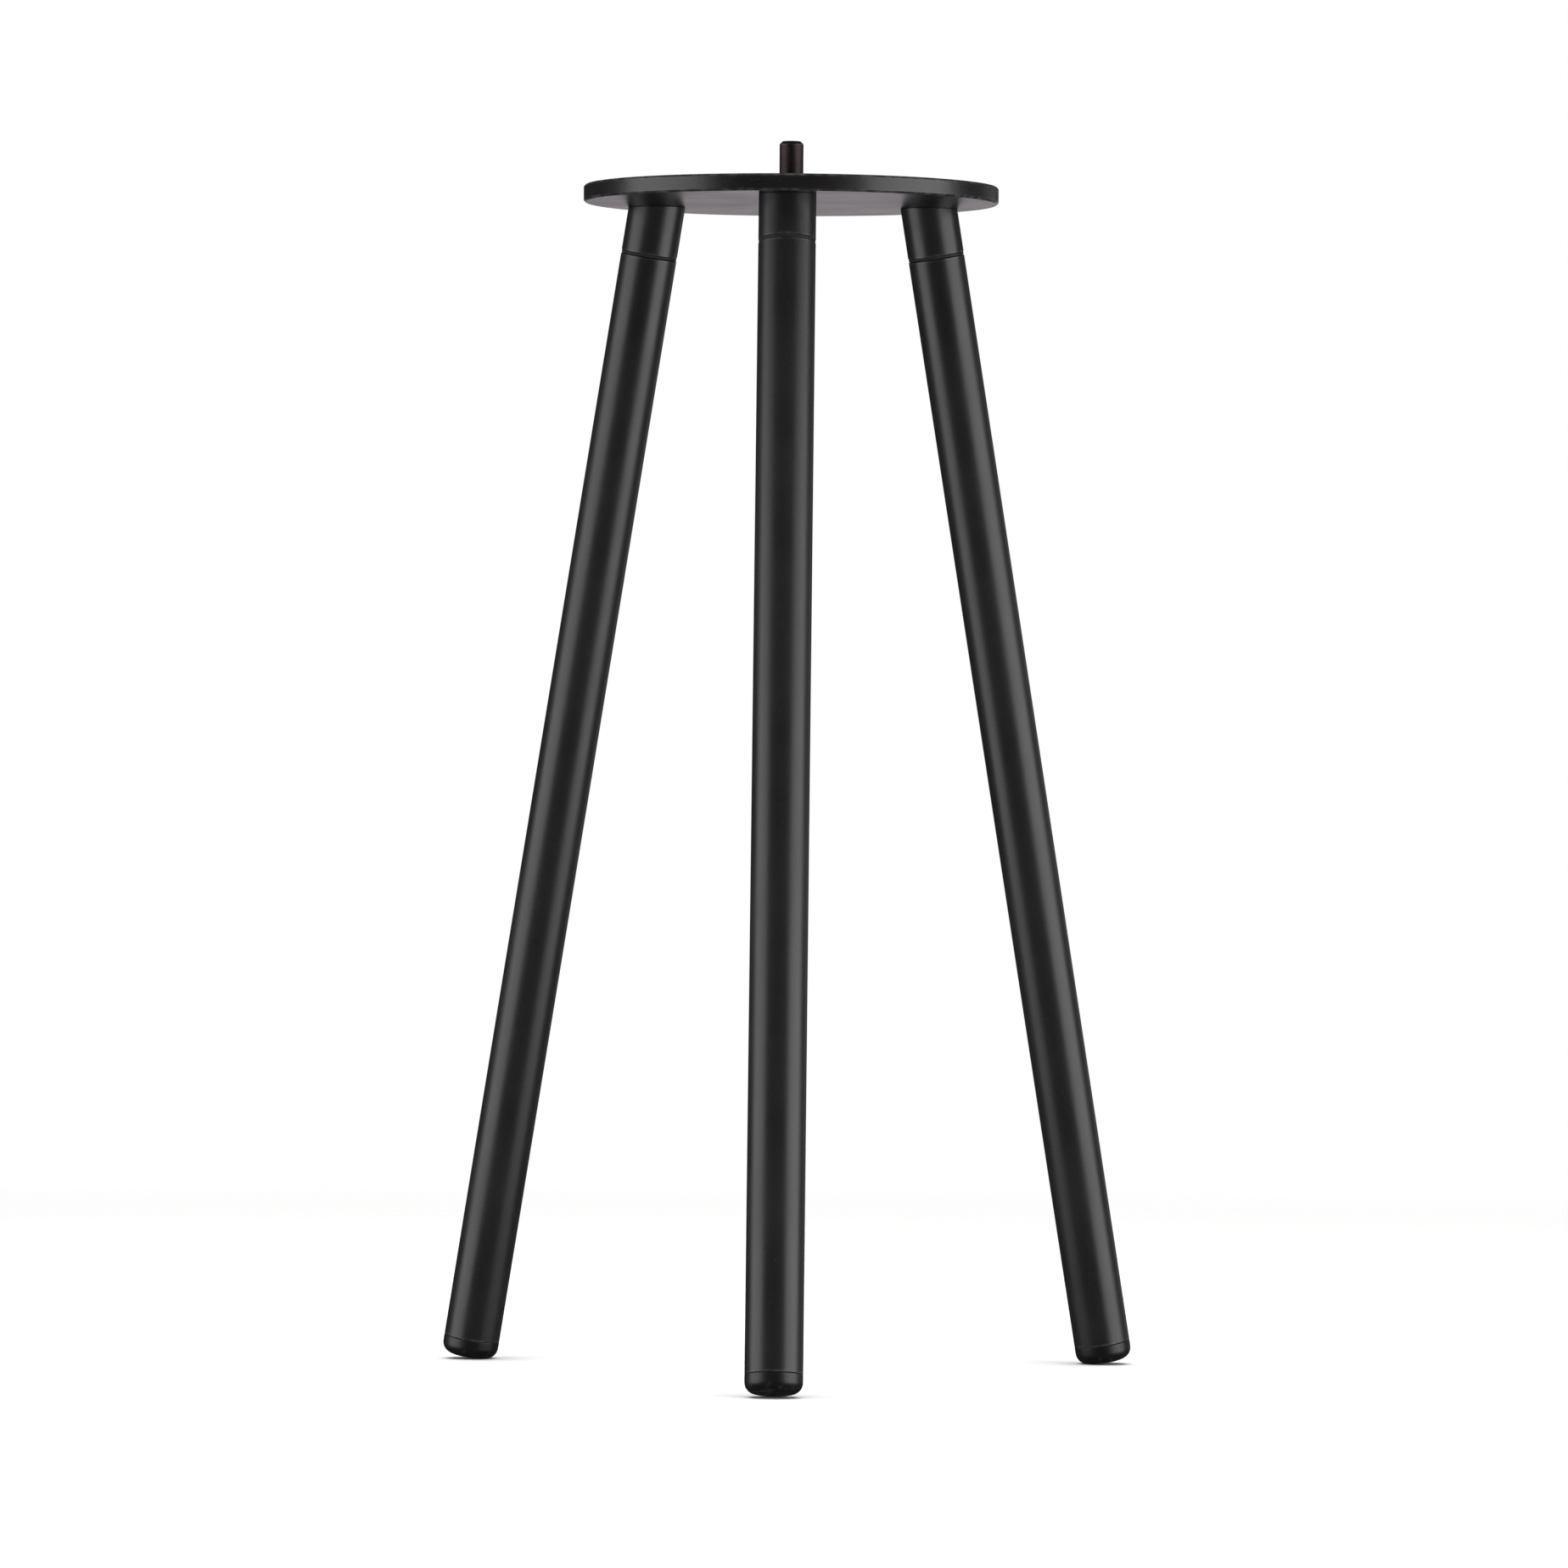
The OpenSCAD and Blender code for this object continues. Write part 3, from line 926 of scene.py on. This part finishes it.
class STAND_OT_foot_caps(bpy.types.Operator):
    """Builds the moulded cap in each leg's foot: a rounded head and a hollow ribbed stem"""

    bl_idname = "stand.foot_caps"
    bl_label = "Foot caps"

    def execute(self, context):
        sizes, colours = context.scene.stand_sizes, context.scene.stand_colours
        bore_r = LEG_R - sizes.tube_wall
        stem_r = bore_r - sizes.press_play - sizes.cap_rib
        inner_r = stem_r - sizes.cap_wall
        stem = CAP_START - TUBE_END
        rib, rib_round, ribs = sizes.cap_rib, 0.05 * MM, []
        for place in (3 / 4, 2 / 4, 1 / 4):
            rib_z = TUBE_END + stem * place
            ribs += [
                (stem_r, rib_z - rib),
                (stem_r + rib, rib_z, rib_round),
                (stem_r + rib, rib_z + rib, rib_round),
                (stem_r, rib_z + rib),
            ]
        # The moulding gate leaves a small dimple in the middle of the sole
        gate_r, gate_depth = 1.1 * MM, 0.3 * MM
        hollow_end = TUBE_END + 0.8 * MM
        profile = rounded(
            [
                (0, hollow_end),
                (inner_r, hollow_end, 0.3 * MM),
                (inner_r, CAP_START, 0.2 * MM),
                (stem_r, CAP_START, 0.4 * MM),
                *ribs,
                (stem_r, TUBE_END, 0.1 * MM),
                (LEG_R, TUBE_END, 0.25 * MM),
                (LEG_R, CAP_END, sizes.cap_round),
                (gate_r, CAP_END, 0.15 * MM),
                (gate_r - 0.1 * MM, CAP_END - gate_depth, 0.08 * MM),
                (0, CAP_END - gate_depth),
            ],
            steps=8,
        )
        plastic = moulded_polyethylene("moulded_polyethylene_foot", colours.plastic, CAP_END)
        rows = turned(profile, sizes.columns)
        for leg in LEGS:
            cap = new_object(f"foot_{leg}", mesh_from_rows("foot", rows, LEG_AXES[leg]))
            finish_piece(cap, LEG_AXES[leg], f"leg_{leg}", plastic, f"foot_cap_{leg}")
        return {"FINISHED"}


# ---------------------------------------------------------------- stage

CAMERA_EYE = (54.2 * MM, -2447.3 * MM)  # across and behind, from the stud's axis
CAMERA_ABOVE_FLOOR = 157.7 * MM
CAMERA_HEADING = math.radians(1.286)
CAMERA_PITCH = -0.00067
CAMERA_ROLL = 0.0075
CAMERA_LENS = 212.02
FLOOR_R = 1.2
FLOOR_FADE = (0.35, 1.1)  # the board is whole up to the first distance, and gone at the second


def softbox(name, azimuth, elevation, distance, width, height, radiance, target_z, tint="#ffffff"):
    """An area light that faces the stand, at an azimuth from the camera's side (positive to the right) and
    an elevation. Its power is the radiance times pi times its area."""
    target = Vector((0, 0, target_z))
    a, e = math.radians(azimuth), math.radians(elevation)
    away = Vector((math.sin(a) * math.cos(e), -math.cos(a) * math.cos(e), math.sin(e)))
    light = bpy.data.lights.new(name, "AREA")
    light.shape = "RECTANGLE"
    light.size, light.size_y = width, height
    light.energy = radiance * math.pi * width * height
    light.color = linear(tint)
    lamp = bpy.data.objects.new(name, light)
    facing = away.to_track_quat("Z", "Y").to_matrix().to_4x4()
    lamp.matrix_world = Matrix.Translation(target + away * distance) @ facing
    lamp.visible_camera = False
    bpy.context.scene.collection.objects.link(lamp)
    return lamp


def studio_world():
    """A white surround for the camera, and a dim one for reflections, so that black coats stay black."""
    world = bpy.data.worlds.new("studio")
    bpy.context.scene.world = world
    world.use_nodes = True
    tree = world.node_tree
    tree.nodes.clear()
    white = (1, 1, 1)
    seen = add(tree, "Background", {"Color": white, "Strength": 1.0})
    dim = add(tree, "Background", {"Color": white, "Strength": 0.03})
    to_camera = add(tree, "LightPath").outputs["Is Camera Ray"]
    add(tree, "OutputWorld", {"Surface": add(tree, "MixShader", (to_camera, dim, seen))})


class STAND_OT_stage(bpy.types.Operator):
    """Sets up the pale floor, the soft studio light and the camera"""

    bl_idname = "stand.stage"
    bl_label = "Floor, lights and camera"

    def execute(self, context):
        colours = context.scene.stand_colours
        floor_z = CAD_BOX[0][2]
        board = turned(np.array([(0, 0), (FLOOR_R / 2, 0), (FLOOR_R, 0)]), 64)
        mesh = mesh_from_rows("floor", board, np.eye(4))
        floor = new_object("floor", mesh)
        floor.location.z = floor_z
        mesh.materials.append(white_board("matt_white_board", colours.floor, *FLOOR_FADE))
        # The black coats take no reflection of the board, which keeps the feet as dark as the rest
        floor.visible_glossy = False
        middle = floor_z / 2
        softbox("left_softbox", -73, 0, 1.0, 1.0, 0.8, 2.5, middle)
        softbox("right_softbox", 70, 0, 1.0, 1.05, 0.8, 3.1, middle)
        # The overhead light shows in no coat, so that the plate's upper chamfer stays dark
        overhead = softbox("overhead_softbox", 0, 88, 1.4, 2.0, 2.0, 3.6, middle)
        overhead.visible_glossy = False
        softbox("rear_high_card", 180, 52, 1.4, 0.7, 0.6, 0.9, middle)
        softbox("back_card", 180, -4, 1.6, 0.7, 0.8, 0.62, middle, tint="#fff6fe")
        softbox("right_rear_card", 145, 0, 1.2, 0.5, 0.5, 0.3, middle)
        studio_world()
        camera = bpy.data.cameras.new("camera")
        camera.lens = CAMERA_LENS
        camera.sensor_width = 36
        eye = bpy.data.objects.new("camera", camera)
        eye.matrix_world = (
            Matrix.Translation((*CAMERA_EYE, floor_z + CAMERA_ABOVE_FLOOR))
            @ Matrix.Rotation(CAMERA_HEADING, 4, "Z")
            @ Matrix.Rotation(math.pi / 2 + CAMERA_PITCH, 4, "X")
            @ Matrix.Rotation(CAMERA_ROLL, 4, "Z")
        )
        context.scene.collection.objects.link(eye)
        context.scene.camera = eye
        context.scene.view_settings.view_transform = "Standard"
        return {"FINISHED"}


# ---------------------------------------------------------------- add-on

PIECES = (
    STAND_OT_stage,
    STAND_OT_top_plate,
    STAND_OT_device_stud,
    STAND_OT_sockets,
    STAND_OT_socket_fixings,
    STAND_OT_seat_washers,
    STAND_OT_leg_studs,
    STAND_OT_leg_tubes,
    STAND_OT_foot_caps,
)


class STAND_PT_pieces(bpy.types.Panel):
    """Lists the stand's pieces"""

    bl_label = "Tripod hunting stand"
    bl_space_type = "VIEW_3D"
    bl_region_type = "UI"
    bl_category = "Stand"

    def draw(self, context):
        for operator in PIECES:
            self.layout.operator(operator.bl_idname)
        for group in (context.scene.stand_sizes, context.scene.stand_colours):
            column = self.layout.column()
            for name in group.__annotations__:
                column.prop(group, name)


CLASSES = (StandSizes, StandColours, *PIECES, STAND_PT_pieces)


def register():
    """Registers the classes, and puts the sizes and colours on the scene."""
    for cls in CLASSES:
        bpy.utils.register_class(cls)
    bpy.types.Scene.stand_sizes = PointerProperty(type=StandSizes)
    bpy.types.Scene.stand_colours = PointerProperty(type=StandColours)


def unregister():
    """Takes both off again."""
    del bpy.types.Scene.stand_colours
    del bpy.types.Scene.stand_sizes
    for cls in reversed(CLASSES):
        bpy.utils.unregister_class(cls)


def main():
    """Builds every piece in order."""
    register()
    for operator in PIECES:
        group, name = operator.bl_idname.split(".")
        getattr(getattr(bpy.ops, group), name)()


if __name__ == "__main__":
    main()
